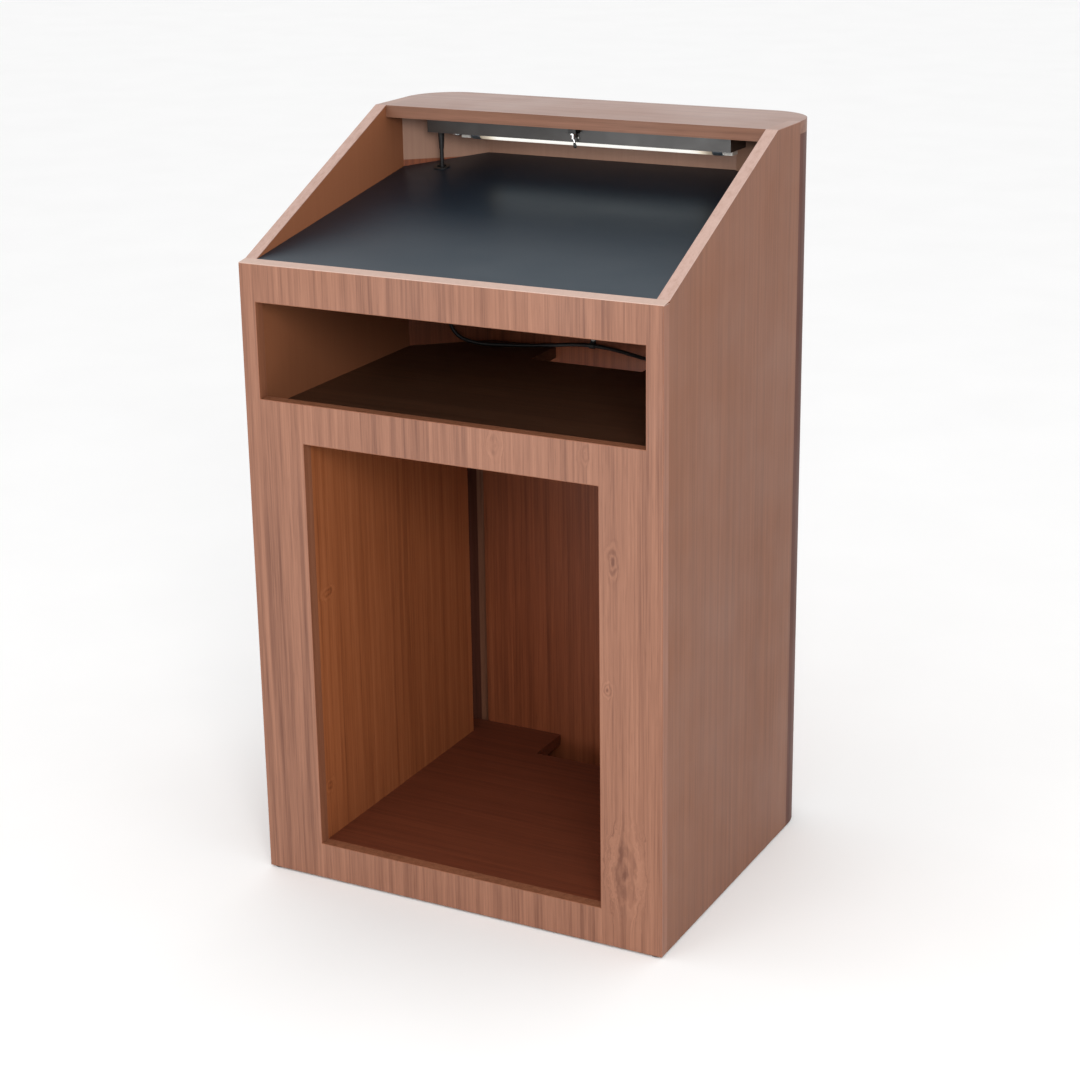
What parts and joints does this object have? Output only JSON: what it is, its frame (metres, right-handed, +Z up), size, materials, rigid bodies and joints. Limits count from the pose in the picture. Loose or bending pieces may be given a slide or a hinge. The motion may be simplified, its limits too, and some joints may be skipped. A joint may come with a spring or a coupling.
{
  "type": "presentation lectern",
  "caption": "Floor-standing wood lectern with a sloped black reading desk under a small lamp, a document shelf and an open equipment bay with rear cable cut-outs.",
  "frame": {"origin": "on the floor under the middle of the footprint", "axes": "+Z up, -Y towards the speaker, +Y towards the audience, +X to the speaker's right hand"},
  "size_m": [0.692, 0.584, 1.17],
  "materials": {
    "front_laminate": "satin vertical-grain laminate",
    "side_laminate": "satin vertical-grain laminate",
    "post_laminate": "satin darker vertical-grain laminate on the rounded corners",
    "pale_edge_band": "satin pale edge banding",
    "top_laminate": "satin laminate",
    "top_edge_band": "satin edge banding",
    "inner_laminate": "satin laminate inside the cabinet",
    "partition_laminate": "satin vertical-grain laminate",
    "raw_hardwood": "planed, unfinished",
    "raw_particleboard": "bare edges, board core",
    "desk_black_laminate": "black fine-textured laminate",
    "grommet_plastic": "moulded black",
    "clip_nylon": "moulded black nylon",
    "glide_plastic": "moulded black",
    "zinc_fastener": "bright zinc plated",
    "lamp_enamel": "dark brown baked enamel",
    "reflector_enamel": "white baked enamel",
    "ballast_enamel": "black baked enamel",
    "switch_moulding": "moulded black",
    "switch_chrome": "bright plated",
    "lever_tip_plastic": "moulded black",
    "tube_glass": "white phosphor-coated glass",
    "tube_cap_aluminium": "pressed, satin",
    "contact_brass": "bright",
    "holder_plastic": "moulded white",
    "starter_can": "drawn can, satin",
    "cord_rubber": "black flexible jacket, low sheen",
    "tie_nylon": "black woven hook-and-loop strip",
    "plug_vinyl": "moulded black vinyl"
  },
  "bodies": {
    "cabinet": {"assembly_dowels": "raw_hardwood", "audience_panel": "side_laminate", "back_liner": "inner_laminate", "ballast": "ballast_enamel", "ballast_screws": "zinc_fastener", "base_runners": "raw_hardwood", "bay_deck": "inner_laminate", "bracket_rivets": "zinc_fastener", "cleat_screws": "zinc_fastener", "compartment_cover": "lamp_enamel", "cord_clip": "clip_nylon", "cord_clip_screw": "zinc_fastener", "cord_strain_relief": "cord_rubber", "cord_tie": "tie_nylon", "corner_splines": "raw_hardwood", "desk_cleats": "raw_hardwood", "desk_grommet": "grommet_plastic", "desk_laminate": "desk_black_laminate", "face_frame": "front_laminate", "floor_glides": "glide_plastic", "frame_edge_banding": "pale_edge_band", "glide_nails": "zinc_fastener", "lamp_cord": "cord_rubber", "lamp_cord_coil": "cord_rubber", "lamp_end_caps": "lamp_enamel", "lamp_housing": "lamp_enamel", "lamp_reflector": "reflector_enamel", "lamp_screws": "zinc_fastener", "left_bay_partition": "partition_laminate", "left_corner_liner": "inner_laminate", "left_corner_post": "post_laminate", "left_lampholder": "holder_plastic", "left_side_panel": "side_laminate", "plug_blades": "contact_brass", "plug_body": "plug_vinyl", "reading_desk": "raw_particleboard", "right_bay_partition": "partition_laminate", "right_corner_liner": "inner_laminate", "right_corner_post": "post_laminate", "right_lampholder": "holder_plastic", "right_side_panel": "side_laminate", "shelf": "inner_laminate", "shelf_cleats": "raw_hardwood", "side_edge_banding": "pale_edge_band", "starter": "starter_can", "starter_socket": "holder_plastic", "switch_body": "switch_moulding", "switch_bracket": "lamp_enamel", "switch_bushing": "switch_chrome", "switch_nut": "switch_chrome", "top_edge_banding": "top_edge_band", "top_panel": "top_laminate"},
    "switch": {"switch_lever": "switch_chrome", "switch_lever_tip": "lever_tip_plastic"},
    "tube": {"fluorescent_tube": "tube_glass", "tube_caps": "tube_cap_aluminium", "tube_pins": "contact_brass"}
  },
  "joints": [
    {"name": "switch_flip", "type": "hinge", "parent": "cabinet", "child": "switch", "pos_m": [-0.006, 0.1385, 1.1345], "axis": [0, 1, 0], "range_deg": [0, 26]},
    {"name": "tube_turn", "type": "hinge", "parent": "cabinet", "child": "tube", "pos_m": [0.0181, 0.17, 1.1281], "axis": [1, 0, 0], "range_deg": [0, 90]}
  ]
}
